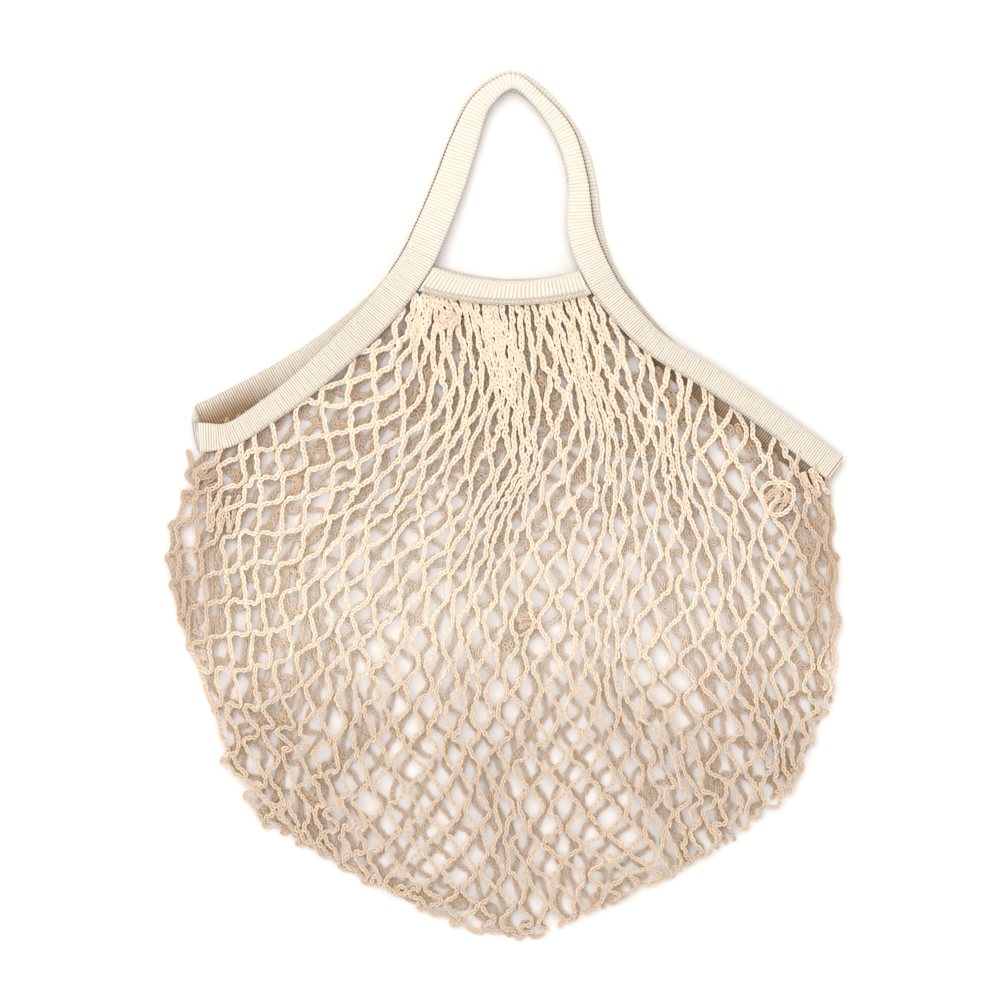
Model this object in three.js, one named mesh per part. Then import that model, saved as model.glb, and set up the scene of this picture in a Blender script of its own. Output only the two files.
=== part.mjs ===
// A cotton string bag lying flat and empty: a knitted net pouch, one endless handle band and two gathered rims.
// Millimetres. The handles point to +Y, the front layer faces +Z and the back layer rests on z = 0.

import * as THREE from 'three';

// Net
const cellColumns = 16;        // mesh cells across one layer
const cellHalfRows = 18;       // half rows of mesh from the mouth to the bottom fold
const cordThickness = 2.8;
const knotHalfWidth = 2.0;
const knotHalfLength = 3.2;
const layerGap = 9;            // middle of the back layer to middle of the front layer
const foldRise = 2;            // how far the side creases and the bottom fold lift off the table
const foldShare = 0.08;        // share of the net over which the two layers close up

// Handle band: a knitted tube pressed flat. Where it rolls up it is narrower and thicker.
const bandSection = 57;        // square millimetres of knit across the band
const stationsAlongBand = 44;  // on each layer
const stationsRoundFold = 6;
const handleLift = 5;          // underside of the front handle above the table
const frontLift = 8.9;         // underside of the front band along the mouth
const cornerLift = 4.6;        // underside of the front band where it turns under
const handleLevelY = 205;      // above this the front band lies on the back one
const mouthLevelY = 128;       // below this it rides on the front layer
const cornerReach = 60;        // the front band comes down over this distance from each corner

// Rims
const rimThickness = 3;
const rimSag = 7;
const rimEndGap = 1.4;         // between the straight ends of a rim and the curved edge of the band
const stationsAlongRim = 12;

const seamGap = 0.5;           // clear space where two pieces meet

// Middle line of the band on each layer as [x, y, width], from the left mouth corner over the handle to the right one.
const frontRoute = [
  [-174, 40, 18], [-156, 42, 14], [-136, 54, 14.5], [-109, 74.5, 16], [-74, 108, 18.5], [-52, 137, 19],
  [-41, 160, 18.5], [-31, 185, 17.5], [-23, 208, 16], [-13, 231, 12], [4, 243, 9], [18, 234, 8.5],
  [34, 214, 11.5], [42, 188, 11.5], [44, 158, 16], [53, 134, 16.5], [65, 115.5, 15.5], [86, 93.5, 14.5],
  [118, 73.5, 14], [152, 50.5, 14.5], [188, 23.5, 16.5],
];
const backRoute = [
  [-173, 51, 18], [-160, 57, 18], [-124, 76, 18.5], [-93, 97, 18.5], [-62, 125, 18.5], [-42, 160, 18],
  [-34, 182, 17], [-26, 205, 15], [-16, 231, 12], [4, 244, 12], [24, 231, 12], [39, 207, 15],
  [45, 183, 16.5], [48, 158, 17.5], [58, 130, 18], [83, 97, 18.5], [107, 76, 18.5], [136, 54, 18.5], [182, 19.5, 16],
];
// Shares of the route where the rim's lower and upper corners meet the band.
const frontFeet = { leftLow: 0.258, leftHigh: 0.284, rightHigh: 0.690, rightLow: 0.715 };
const backFeet = { leftLow: 0.252, leftHigh: 0.2735, rightHigh: 0.690, rightLow: 0.713 };
const rimShareOfMouth = 0.42;  // the rim gathers this share of the cells

// Side creases run down from the mouth corners, and the bottom fold joins them.
const leftCrease = [[-177, 26], [-190, -2], [-193, -22], [-186, -68], [-169, -115], [-158, -152]];
const rightCrease = [[188, 7], [187, -6], [193, -38], [192, -84], [181, -122], [169, -152]];
const bottomFold = [
  [-158, -152], [-137, -182], [-97, -204], [-54, -227], [-20, -242], [17, -246.5],
  [50, -236], [84, -216], [120, -200], [148, -178], [169, -152],
];

function planarCurve(points) {
  return new THREE.CatmullRomCurve3(points.map(([x, y, width = 0]) => new THREE.Vector3(x, y, width)));
}

function smoothRamp(value, from, to) {
  return THREE.MathUtils.smoothstep(value, from, to);
}

// One closed mesh from corner positions and four-cornered or three-cornered faces.
function closedMesh(name, corners, faces, material) {
  const triangles = faces.flatMap(([a, b, c, d]) => (d === undefined ? [a, b, c] : [a, b, c, a, c, d]));
  const geometry = new THREE.BufferGeometry();
  geometry.setAttribute('position', new THREE.Float32BufferAttribute(corners.flatMap((p) => p.toArray()), 3));
  geometry.setIndex(triangles);
  geometry.computeVertexNormals();
  const mesh = new THREE.Mesh(geometry, material);
  mesh.name = name;
  return mesh;
}

// A flattened tube through stations of { centre, across, normal, width, thickness }.
function flattenedTube(name, stations, isLoop, material) {
  const roundness = 0.3;
  const outline = [
    [1, -1, 1, 0], [1, 1, 1, 0], [1, 1, 0, 1], [-1, 1, 0, 1],
    [-1, 1, 1, 0], [-1, -1, 1, 0], [-1, -1, 0, 1], [1, -1, 0, 1],
  ];
  const corners = stations.flatMap(({ centre, across, normal, width, thickness }) => {
    const bevel = roundness * thickness;
    return outline.map(([side, face, onSide, onFace]) => centre.clone()
      .addScaledVector(across, side * (width / 2 - bevel * onFace))
      .addScaledVector(normal, face * (thickness / 2 - bevel * onSide)));
  });
  const sides = outline.length;
  const spans = isLoop ? stations.length : stations.length - 1;
  const faces = [];
  for (let station = 0; station < spans; station += 1) {
    const here = station * sides;
    const next = ((station + 1) % stations.length) * sides;
    for (let side = 0; side < sides; side += 1) {
      const turn = (side + 1) % sides;
      faces.push([here + side, next + side, next + turn, here + turn]);
    }
  }
  if (!isLoop) {
    const last = (stations.length - 1) * sides;
    for (let side = 1; side < sides - 1; side += 1) {
      faces.push([0, side, side + 1]);
      faces.push([last, last + side + 1, last + side]);
    }
  }
  return closedMesh(name, corners, faces, material);
}

// The band's underside on the front layer: up on the net along the mouth, down on the back band at the handle.
function frontBandLift(x, y) {
  const onHandle = smoothRamp(y, mouthLevelY, handleLevelY);
  const lift = THREE.MathUtils.lerp(frontLift, handleLift, onHandle);
  const [leftX] = frontRoute[0];
  const [rightX] = frontRoute.at(-1);
  const fromCorner = Math.min(x - leftX, rightX - x);
  return THREE.MathUtils.lerp(cornerLift, lift, smoothRamp(fromCorner, 0, cornerReach));
}

// A place on the band at a share of its route: middle, width, and the direction across it towards the net.
function bandPlace(curve, share) {
  const { x, y, z: width } = curve.getPointAt(share);
  const along = curve.getTangentAt(share).setZ(0).normalize();
  return { x, y, width, across: new THREE.Vector3(along.y, -along.x, 0) };
}

function bandStations(route, isFront) {
  const curve = planarCurve(route);
  const stations = [];
  for (let step = 0; step <= stationsAlongBand; step += 1) {
    const { x, y, width, across } = bandPlace(curve, step / stationsAlongBand);
    const thickness = bandSection / width;
    const underside = isFront ? frontBandLift(x, y) : 0;
    const centre = new THREE.Vector3(x, y, underside + thickness / 2);
    stations.push({ centre, across, normal: new THREE.Vector3(0, 0, isFront ? 1 : -1), width, thickness });
  }
  return stations;
}

// The half turn that carries the band from one layer to the other at a mouth corner.
function foldStations(from, to, outward) {
  const stations = [];
  const radius = Math.abs(from.centre.z - to.centre.z) / 2;
  for (let step = 1; step < stationsRoundFold; step += 1) {
    const share = step / stationsRoundFold;
    const angle = Math.PI * share;
    const centre = from.centre.clone().lerp(to.centre, share);
    centre.z = (from.centre.z + to.centre.z) / 2 + Math.cos(angle) * (from.centre.z - to.centre.z) / 2;
    centre.x += outward * radius * Math.sin(angle);
    const across = from.across.clone().lerp(to.across, share).normalize();
    const normal = new THREE.Vector3(outward * Math.sin(angle), 0, Math.cos(angle) * from.normal.z);
    normal.addScaledVector(across, -normal.dot(across)).normalize();
    const width = THREE.MathUtils.lerp(from.width, to.width, share);
    stations.push({ centre, across, normal, width, thickness: bandSection / width });
  }
  return stations;
}

function handleBand(material) {
  const front = bandStations(frontRoute, true);
  const back = bandStations(backRoute, false).reverse();
  const rightTurn = foldStations(front.at(-1), back[0], 1);
  const leftTurn = foldStations(back.at(-1), front[0], -1);
  return flattenedTube('band', [...front, ...rightTurn, ...back, ...leftTurn], true, material);
}

// A point beside the band's lower edge, a given distance clear of it.
function besideBand(curve, share, distance) {
  const { x, y, width, across } = bandPlace(curve, share);
  return new THREE.Vector3(x, y, 0).addScaledVector(across, width / 2 + distance);
}

function rimEdge(curve, feet, corner) {
  const left = besideBand(curve, feet[`left${corner}`], rimEndGap);
  const right = besideBand(curve, feet[`right${corner}`], rimEndGap);
  return (share) => left.clone().lerp(right, share).add(new THREE.Vector3(0, -4 * rimSag * share * (1 - share), 0));
}

function gatheredRim(name, route, feet, lift, material) {
  const curve = planarCurve(route);
  const lowerEdge = rimEdge(curve, feet, 'Low');
  const upperEdge = rimEdge(curve, feet, 'High');
  const stations = [];
  for (let step = 0; step <= stationsAlongRim; step += 1) {
    const lower = lowerEdge(step / stationsAlongRim);
    const upper = upperEdge(step / stationsAlongRim);
    const across = lower.clone().sub(upper);
    const width = across.length();
    const centre = lower.clone().add(upper).divideScalar(2).setZ(lift + rimThickness / 2);
    stations.push({
      centre, across: across.divideScalar(width), normal: new THREE.Vector3(0, 0, 1), width, thickness: rimThickness,
    });
  }
  return flattenedTube(name, stations, false, material);
}

// The edge of the mouth on one layer: left slope, rim, right slope.
function mouthEdge(route, feet) {
  const curve = planarCurve(route);
  const lowerRimEdge = rimEdge(curve, feet, 'Low');
  const slopeShare = (1 - rimShareOfMouth) / 2;
  const clearOfSeam = knotHalfLength + seamGap;
  return (u) => {
    if (u < slopeShare) {
      return besideBand(curve, feet.leftLow * u / slopeShare, clearOfSeam);
    }
    if (u > 1 - slopeShare) {
      return besideBand(curve, 1 - (1 - feet.rightLow) * (1 - u) / slopeShare, clearOfSeam);
    }
    return lowerRimEdge((u - slopeShare) / rimShareOfMouth).add(new THREE.Vector3(0, -clearOfSeam, 0));
  };
}

// Place in plan of the net at u across and v down one layer, blended from its four edges.
function netPlan(route, feet) {
  const mouth = mouthEdge(route, feet);
  const left = planarCurve(leftCrease);
  const right = planarCurve(rightCrease);
  const bottom = planarCurve(bottomFold);
  const topLeft = left.getPointAt(0);
  const topRight = right.getPointAt(0);
  const bottomLeft = bottom.getPointAt(0);
  const bottomRight = bottom.getPointAt(1);
  return (u, v) => {
    const top = mouth(u)
      .addScaledVector(topLeft.clone().sub(mouth(0)), Math.max(0, 1 - u * cellColumns))
      .addScaledVector(topRight.clone().sub(mouth(1)), Math.max(0, 1 - (1 - u) * cellColumns));
    return top.multiplyScalar(1 - v)
      .addScaledVector(bottom.getPointAt(u), v)
      .addScaledVector(left.getPointAt(v), 1 - u)
      .addScaledVector(right.getPointAt(v), u)
      .addScaledVector(topLeft, -(1 - u) * (1 - v))
      .addScaledVector(topRight, -u * (1 - v))
      .addScaledVector(bottomLeft, -(1 - u) * v)
      .addScaledVector(bottomRight, -u * v);
  };
}

// Both layers of the net as flat knots joined by flat cords, counted round the pouch: the front layer from the
// left crease to the right one, then the back layer home again. The layers share the knots of the bottom row.
function netPouch(material) {
  const across = 2 * cellColumns;
  const around = 2 * across;
  const plans = { front: netPlan(frontRoute, frontFeet), back: netPlan(backRoute, backFeet) };
  const isCrease = (column) => column % across === 0;

  function knotCentre(columnAround, row) {
    const column = (columnAround + around) % around;
    const isFront = column <= across;
    const u = (isFront ? column : around - column) / across;
    const v = row / cellHalfRows;
    const spread = Math.min(1, Math.min(u, 1 - u, 1 - v) / foldShare);
    const height = cordThickness / 2 + foldRise * (1 - spread) + (isFront ? layerGap * spread : 0);
    return plans[isFront ? 'front' : 'back'](u, v).setZ(height);
  }

  const corners = [];
  const directions = ['north', 'west', 'south', 'east'];
  const firstCorner = new Map();

  // The way on from the bottom row leads round the fold to the other layer.
  function placeBelow(column, row) {
    if (row < cellHalfRows) {
      return knotCentre(column, row + 1);
    }
    return isCrease(column) ? knotCentre(column, row) : knotCentre(around - column, row - 1);
  }

  function addKnotCorners(column, row) {
    const level = isCrease(column) ? Math.min(row, cellHalfRows - 1) : row;
    const eastward = knotCentre(column + 1, level).sub(knotCentre(column - 1, level)).normalize();
    const above = knotCentre(column, Math.max(0, row - 1));
    const southward = placeBelow(column, row).sub(above).normalize();
    const outward = southward.clone().cross(eastward).normalize();
    const reach = [[southward, -knotHalfLength], [eastward, -knotHalfWidth], [southward, knotHalfLength],
      [eastward, knotHalfWidth]];
    firstCorner.set(`${column} ${row}`, corners.length);
    for (const face of [1, -1]) {
      for (const [direction, distance] of reach) {
        const corner = knotCentre(column, row).addScaledVector(direction, distance);
        corner.addScaledVector(outward, face * cordThickness / 2);
        corners.push(corner.setZ(Math.max(0, corner.z)));
      }
    }
  }

  // Seen from the back layer, a knot of the bottom row is turned by half a turn.
  function knotCorner(columnAround, row, direction) {
    const column = (columnAround + around) % around;
    const isTurned = row === cellHalfRows && column > across;
    const key = `${isTurned ? around - column : column} ${row}`;
    if (!firstCorner.has(key)) {
      addKnotCorners(...key.split(' ').map(Number));
    }
    return firstCorner.get(key) + (directions.indexOf(direction) + (isTurned ? 2 : 0)) % 4;
  }

  const faces = [];
  const toInnerFace = directions.length;

  // A slab between four corners of the outer face, with side walls only where nothing is joined on.
  function addSlab(ring, walledSides) {
    const inner = ring.map((corner) => corner + toInnerFace);
    faces.push(ring, [...inner].reverse());
    for (const side of walledSides) {
      const next = (side + 1) % ring.length;
      faces.push([ring[next], ring[side], inner[side], inner[next]]);
    }
  }

  for (let row = 0; row <= cellHalfRows; row += 1) {
    const lastColumn = row === cellHalfRows ? across : around - 1;
    for (let column = row % 2; column <= lastColumn; column += 2) {
      const openAbove = row === 0 ? [0, 3] : [];
      const openBelow = row === cellHalfRows && isCrease(column) ? [1, 2] : [];
      addSlab(directions.map((direction) => knotCorner(column, row, direction)), [...openAbove, ...openBelow]);
      if (row < cellHalfRows) {
        addSlab([
          knotCorner(column, row, 'south'), knotCorner(column + 1, row + 1, 'west'),
          knotCorner(column + 1, row + 1, 'north'), knotCorner(column, row, 'east'),
        ], [0, 2]);
        addSlab([
          knotCorner(column, row, 'west'), knotCorner(column - 1, row + 1, 'north'),
          knotCorner(column - 1, row + 1, 'east'), knotCorner(column, row, 'south'),
        ], [0, 2]);
      }
    }
  }
  return closedMesh('net', corners, faces, material);
}

function cotton(color) {
  return new THREE.MeshStandardMaterial({ color, roughness: 0.95, metalness: 0 });
}

const group = new THREE.Group();
group.add(netPouch(cotton(0xe3d3bb)));
group.add(handleBand(cotton(0xf3e8d5)));
group.add(gatheredRim('rim_front', frontRoute, frontFeet, frontLift, cotton(0xf5ecdc)));
group.add(gatheredRim('rim_back', backRoute, backFeet, 0, cotton(0xe0d0b8)));

// The origin is the middle of the underside of the whole bag.
const bounds = new THREE.Box3().setFromObject(group);
const middle = bounds.getCenter(new THREE.Vector3());
group.position.set(-middle.x, -middle.y, -bounds.min.z);

export default group;
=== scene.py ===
import math

import bpy
import numpy as np
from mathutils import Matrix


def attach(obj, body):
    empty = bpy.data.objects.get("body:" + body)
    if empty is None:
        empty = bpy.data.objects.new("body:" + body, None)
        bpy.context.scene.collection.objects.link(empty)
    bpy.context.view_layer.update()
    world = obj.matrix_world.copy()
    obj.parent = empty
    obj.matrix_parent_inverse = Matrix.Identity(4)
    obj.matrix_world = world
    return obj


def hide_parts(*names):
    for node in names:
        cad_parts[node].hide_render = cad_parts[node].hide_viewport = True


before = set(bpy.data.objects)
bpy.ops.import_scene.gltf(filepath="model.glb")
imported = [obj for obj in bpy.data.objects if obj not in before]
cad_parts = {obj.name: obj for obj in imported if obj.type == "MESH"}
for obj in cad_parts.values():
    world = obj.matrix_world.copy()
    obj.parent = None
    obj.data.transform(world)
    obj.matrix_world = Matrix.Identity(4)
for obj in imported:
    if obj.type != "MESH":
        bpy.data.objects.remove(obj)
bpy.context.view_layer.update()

mm = 0.001
planShift = np.array((-0.8, -0.07, 0.0))  # mm, from the routes below to the middle of the frame
tau = 2 * math.pi

# Everything below is in millimetres in plan: x to the right, y towards the handles, z up from the table.
bag = {
    "leftCrease": [
        (-177, 28), (-184, 17), (-189, -1), (-194, -21), (-190, -44), (-186, -68),
        (-176, -92), (-169, -115), (-163, -138), (-159, -151),
    ],
    "rightCrease": [
        (188, 9), (188, -2), (191, -18), (194, -38), (194.5, -58), (194.5, -81),
        (191, -104), (184, -119), (179, -135), (171, -150),
    ],
    "bottomFold": [
        (-159, -151), (-150, -163), (-137, -182), (-118, -193), (-96, -204), (-77, -216),
        (-54, -226), (-31, -238), (-2, -245), (19, -246), (42, -238), (70, -226), (84, -215),
        (112, -204), (132, -193), (158, -170), (171, -150),
    ],
    # heights of the middle of the cords
    "backHeight": 2.4,
    "frontHeight": 9.4,
    "creaseHeight": 4.9,       # of the front layer where it meets the back one
    "lowest": 2.3,
    "highest": 11.2,
    "roundedWithin": 16,       # how far in from the outline the front layer slopes down
    "creaseTop": 25,           # the layers meet along the outline below this y
}

# Middle line and width of the handle band on each layer, from the left mouth corner to the right one.
band = {
    "front": [
        (-174, 40, 18), (-156, 42, 14), (-136, 54, 14.5), (-109, 74.5, 16), (-74, 108, 18.5), (-52, 137, 19),
        (-41, 160, 18.5), (-31, 185, 17.5), (-23, 208, 16), (-13, 231, 12), (4, 243, 9), (18, 234, 8.5),
        (34, 214, 11.5), (42, 188, 11.5), (44, 158, 16), (53, 134, 16.5), (65, 115.5, 15.5), (86, 93.5, 14.5),
        (118, 73.5, 14), (152, 50.5, 14.5), (188, 23.5, 16.5),
    ],
    "back": [
        (-173, 51, 18), (-160, 57, 18), (-124, 76, 18.5), (-93, 97, 18.5), (-62, 125, 18.5), (-42, 160, 18),
        (-34, 182, 17), (-26, 205, 15), (-16, 231, 12), (4, 244, 12), (24, 231, 12), (39, 207, 15),
        (45, 183, 16.5), (48, 158, 17.5), (58, 130, 18), (83, 97, 18.5), (107, 76, 18.5), (136, 54, 18.5),
        (182, 19.5, 16),
    ],
    "section": 57,             # square mm of knit across the band, so a narrower stretch is a thicker one
    # underside of the front layer: along the handle, along the slopes and at the two corners
    "handleLift": 5.0,
    "frontLift": 8.9,
    "cornerLift": 5.4,
    "handleLevel": (128, 205),  # y from the slopes' height to the handle's
    "cornerReach": 60,
    "foldReach": 0.9,          # how far a fold bulges out, as a share of half its height
    "foldNarrowing": 4.0,
    "foldSteps": 24,
    "stationStep": 0.31,
    "roundPoints": 20,
    "squareness": 3.2,         # of the rounded section: 2 is an ellipse
    "ribPitch": 1.45,          # on the slopes; the ribs of the handle are stretched apart
    "handleRibPitch": 2.1,
    "ribDepth": 0.42,
    "seamInset": 1.1,
}

rim = {
    "frontFeet": {"leftLow": 0.258, "leftHigh": 0.284, "rightHigh": 0.690, "rightLow": 0.715},
    "backFeet": {"leftLow": 0.252, "leftHigh": 0.2735, "rightHigh": 0.690, "rightLow": 0.713},
    "shareOfMouth": 0.43,      # share of the cords that hang from the rim
    "length": 92,
    "sag": 7.0,
    "endGap": 0.6,
    "thickness": 3.2,
    "ribPitch": 2.3,
    "slant": -6.5,             # how far a rib leans from the middle to the lower edge
    "seamInsets": (0.5, 3.0),
}


def smoothRoute(points, perSpan=16):
    # a curve through all the points
    p = np.asarray(points, float)
    padded = np.vstack([2 * p[:1] - p[1:2], p, 2 * p[-1:] - p[-2:-1]])
    t = np.linspace(0, 1, perSpan, endpoint=False)[:, None]
    spans = []
    for before, start, end, after in zip(padded, padded[1:], padded[2:], padded[3:]):
        bend = 2 * before - 5 * start + 4 * end - after
        turn = 3 * start - before - 3 * end + after
        spans.append(start + 0.5 * ((end - before) * t + bend * t ** 2 + turn * t ** 3))
    return np.vstack(spans + [p[-1:]])


def atShares(route, shares):
    # places at shares of the route's length
    steps = np.linalg.norm(np.diff(route, axis=0), axis=1)
    length = np.concatenate([[0.0], np.cumsum(steps)])
    wanted = np.clip(np.asarray(shares, float), 0, 1) * length[-1]
    return np.stack([np.interp(wanted, length, route[:, axis]) for axis in range(route.shape[1])], axis=-1)


def smoothStep(value, low, high):
    t = np.clip((value - low) / (high - low), 0, 1)
    return t * t * (3 - 2 * t)


def unit(vectors):
    return vectors / np.maximum(np.linalg.norm(vectors, axis=-1, keepdims=True), 1e-9)


def smoothNoise(rng, shape, waves=(3, 11), count=14):
    # a sum of plain waves in random directions over a grid, about -1.5 to 1.5
    a, b = np.meshgrid(np.linspace(0, 1, shape[0]), np.linspace(0, 1, shape[1]), indexing="ij")
    total = np.zeros(shape)
    for _ in range(count):
        angle, number, phase = rng.uniform(0, tau), rng.uniform(*waves), rng.uniform(0, tau)
        total += np.sin(tau * number * (a * math.cos(angle) + b * math.sin(angle)) + phase)
    return total / math.sqrt(count / 2)


# The band: places along it, its lower edge, and the rims that hang between its feet

bandRoutes = {side: smoothRoute(band[side]) for side in ("front", "back")}


def bandPlaces(side, shares):
    # middle (n, 2), width (n) and the direction across towards the net (n, 2)
    route = bandRoutes[side]
    here = atShares(route, shares)
    ahead = atShares(route, np.asarray(shares) + 0.004)
    behind = atShares(route, np.asarray(shares) - 0.004)
    along = unit(ahead[:, :2] - behind[:, :2])
    return here[:, :2], here[:, 2], np.stack([along[:, 1], -along[:, 0]], axis=1)


def besideBand(side, shares, distance):
    middle, width, across = bandPlaces(side, np.atleast_1d(shares))
    return middle + across * (width / 2 + distance)[:, None]


def rimEdge(side, corner, shares):
    feet = rim[side + "Feet"]
    left = besideBand(side, feet["left" + corner], rim["endGap"])
    right = besideBand(side, feet["right" + corner], rim["endGap"])
    t = np.asarray(shares)[:, None]
    return left * (1 - t) + right * t + np.hstack([t * 0, -4 * rim["sag"] * t * (1 - t)])


def mouthEdge(side, shares, clear):
    # left slope, rim, right slope
    feet, slope = rim[side + "Feet"], (1 - rim["shareOfMouth"]) / 2
    u = np.asarray(shares, float)
    left = besideBand(side, feet["leftLow"] * np.clip(u / slope, 0, 1), clear)
    right = besideBand(side, 1 - (1 - feet["rightLow"]) * np.clip((1 - u) / slope, 0, 1), clear)
    middle = rimEdge(side, "Low", np.clip((u - slope) / rim["shareOfMouth"], 0, 1)) + (0, -clear)
    return np.where((u < slope)[:, None], left, np.where((u > 1 - slope)[:, None], right, middle))


# The net: two layers of chains, and where their columns of knots run

guideHeights = (116, 84, 50, 16, -15, -47, -81, -115, -149, -184, -215, -241, -260)
guideRows = (0, 2.3, 4.8, 7.3, 9.6, 11.8, 14.3, 17, 20, 23.1, 26.2, 28.8, 30.8)


def levelGuide(column, xs, rows=guideRows):
    # from column 20 on, every guide passes the same heights
    return column, list(zip(xs, guideHeights, rows))


net = {
    "chains": 52,
    "rows": 38,
    "bar": 16.2,
    "stepsPerBar": 5,
    "cordWidth": 3.4,
    "mouthClear": 1.6,
    "turnedUnder": (5, 12),    # how far the front layer runs on under the bag: at the bottom, at the sides
    "backInset": 4,            # how far inside the outline the back layer meets it
    "rounds": 260,
    "shortest": 0.8,           # of its own length, where the cord is pushed together
    "stiffness": 0.25,
    "smoothing": 0.08,
    "hurry": 1.5,              # how much of the rules' mean move is taken in a round
    "guidePull": 0.03,
    "tuck": 3.2,               # how far a cord runs on under the band
    # column number, then places (x, y, row) down it; past the outline the column turns under the bag
    "front": [
        (0, [(-100, 156, 0), (-119, 127, 3), (-145, 96, 7), (-171, 62, 11), (-184, 44, 13), (-197, 25, 15),
              (-207, 2, 17.5), (-214, -30, 20), (-213, -75, 24), (-202, -121, 28), (-179, -166, 32)]),
        (4, [(-74, 133, 0), (-93, 107, 3), (-119, 73, 7), (-145, 39, 11), (-158, 22, 13), (-171, 5, 15),
              (-182, -14, 17), (-190, -35, 19), (-195, -59, 21), (-196, -92, 23.8), (-186, -135, 27.6),
              (-165, -172, 31.2)]),
        (8, [(-52, 112, 0), (-62, 93, 2), (-74, 76, 4), (-93, 50, 7), (-107, 33, 9), (-119, 16, 11),
              (-132, -1, 13), (-144, -19, 15), (-155, -38, 17), (-165, -58, 19), (-171, -81, 20.8),
              (-172, -113, 23.4), (-161, -155, 27), (-142, -195, 30.4)]),
        (12, [(-43, 121, 0), (-40, 90, 2.1), (-45, 62, 4.2), (-68, 27, 7), (-85, 2, 9.2), (-101, -23, 11.5),
              (-115, -47, 13.8), (-128, -71, 16.2), (-137, -95, 18.4), (-141, -121, 20.8), (-139, -146, 23),
              (-128, -181, 26.5), (-111, -212, 29.6)]),
        (16, [(-27, 117, 0), (-21, 90, 2), (-21, 62, 4), (-32, 33, 6.2), (-51, 2, 8.8), (-66, -27, 11.2),
              (-80, -55, 13.8), (-89, -84, 16.1), (-97, -112, 18.6), (-101, -141, 21.2), (-100, -169, 24),
              (-91, -202, 27.4), (-82, -232, 30.6)]),
        levelGuide(20, (-10, -3, -1, -16, -31, -45, -56, -64, -68, -71, -68, -62, -56)),
        levelGuide(24, (6, 13, 17, 6, -7, -16, -22, -26, -28, -28, -26, -22, -18)),
        levelGuide(28, (22, 30, 35, 27, 18, 11, 9, 8, 9, 11, 15, 18, 21)),
        levelGuide(32, (38, 48, 55, 55, 51, 44, 40, 40, 42, 46, 50, 55, 57)),
        levelGuide(36, (54, 63, 73, 80, 83, 78, 72, 73, 78, 82, 85, 87, 86)),
        levelGuide(38, (67, 83, 85, 88, 92, 87, 82, 87, 93, 99, 103, 103, 100),
                       (0, 2.1, 4.5, 7, 9.3, 11.5, 14, 16.7, 19.7, 22.8, 25.9, 28.5, 30.5)),
        levelGuide(40, (78, 98, 97, 97, 100, 97, 96, 103, 111, 116, 119, 117, 114),
                       (0, 1.9, 4.2, 6.8, 9, 11.2, 13.8, 16.4, 19.4, 22.6, 25.6, 28.2, 30.2)),
        levelGuide(43, (91, 112, 119, 116, 121, 123, 125, 130, 137, 141, 142, 138, 132),
                       (0, 1.6, 3.8, 6.3, 8.6, 10.8, 13.3, 16, 19, 22.1, 25.2, 27.8, 29.8)),
        levelGuide(47, (112, 132, 144, 147, 150, 155, 160, 164, 168, 168, 163, 156, 149),
                       (0, 1.1, 3.3, 5.8, 8.1, 10.3, 12.8, 15.5, 18.5, 21.6, 24.7, 27.3, 29.3)),
        levelGuide(50, (128, 147, 163, 174, 181, 187, 190, 192, 189, 184, 176, 169, 162),
                       (0, 0.8, 2.9, 5.4, 7.7, 9.9, 12.4, 15.1, 18.1, 21.2, 24.3, 26.9, 28.9)),
        levelGuide(52, (139, 157, 173, 189, 198, 204, 207, 207, 203, 194, 185, 176, 169),
                       (0, 0.6, 2.6, 5.1, 7.4, 9.6, 12.1, 14.8, 17.8, 20.9, 24, 26.6, 28.6)),
    ],
    "back": [
        (0, [(-172, 42, 0), (-180, 0, 4.5), (-186, -60, 10), (-182, -140, 18), (-175, -240, 28)]),
        (6, [(-138, 62, 0), (-146, 16, 4.8), (-152, -41, 10), (-150, -104, 16.5), (-142, -200, 27)]),
        (14.5, [(-51, 119, 0), (-68, 62, 6.5), (-94, 5, 13.5), (-102, -52, 19.5), (-102, -115, 25),
                (-94, -205, 33)]),
        (21, [(-22, 117, 0), (-24, 62, 7), (-38, 5, 14.5), (-44, -52, 21), (-42, -121, 27), (-38, -232, 36)]),
        (26, [(2, 117, 0), (5, 62, 7), (1, 5, 15), (0, -52, 21.5), (2, -121, 27.5), (6, -240, 37)]),
        (31, [(26, 117, 0), (35, 62, 7), (40, 5, 15), (43, -52, 21.5), (43, -121, 27.5), (44, -236, 36.5)]),
        (37.5, [(57, 119, 0), (83, 62, 7), (95, 5, 14), (101, -52, 20), (102, -115, 26), (101, -215, 34.5)]),
        (46, [(136, 60, 0), (150, 16, 5), (160, -30, 9.7), (162, -81, 15), (158, -160, 23), (150, -230, 30)]),
        (52, [(185, 12, 0), (192, -40, 5.5), (194, -90, 10.7), (190, -154, 17), (180, -230, 25)]),
    ],
    "sway": {"front": 3.5, "back": 4.2},
    "crinkle": 0.48,
    "seed": 3,
}


def netField(side):
    # where each knot would lie if the chains followed the guides, as (columns, rows, 2)
    columns, rows = np.arange(net["chains"] + 1), np.arange(net["rows"] + 1)
    guides = []
    for _, places in net[side]:
        curve = smoothRoute(places)
        guides.append([np.interp(rows, curve[:, 2], curve[:, axis]) for axis in range(2)])
    guides = np.array(guides)
    numbers = [column for column, _ in net[side]]
    field = np.empty((len(columns), len(rows), 2))
    for row in rows:
        for axis in range(2):
            field[:, row, axis] = np.interp(columns, numbers, guides[:, axis, row])
    for _ in range(3):
        field[1:-1] = 0.25 * field[:-2] + 0.5 * field[1:-1] + 0.25 * field[2:]
    return field


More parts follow.
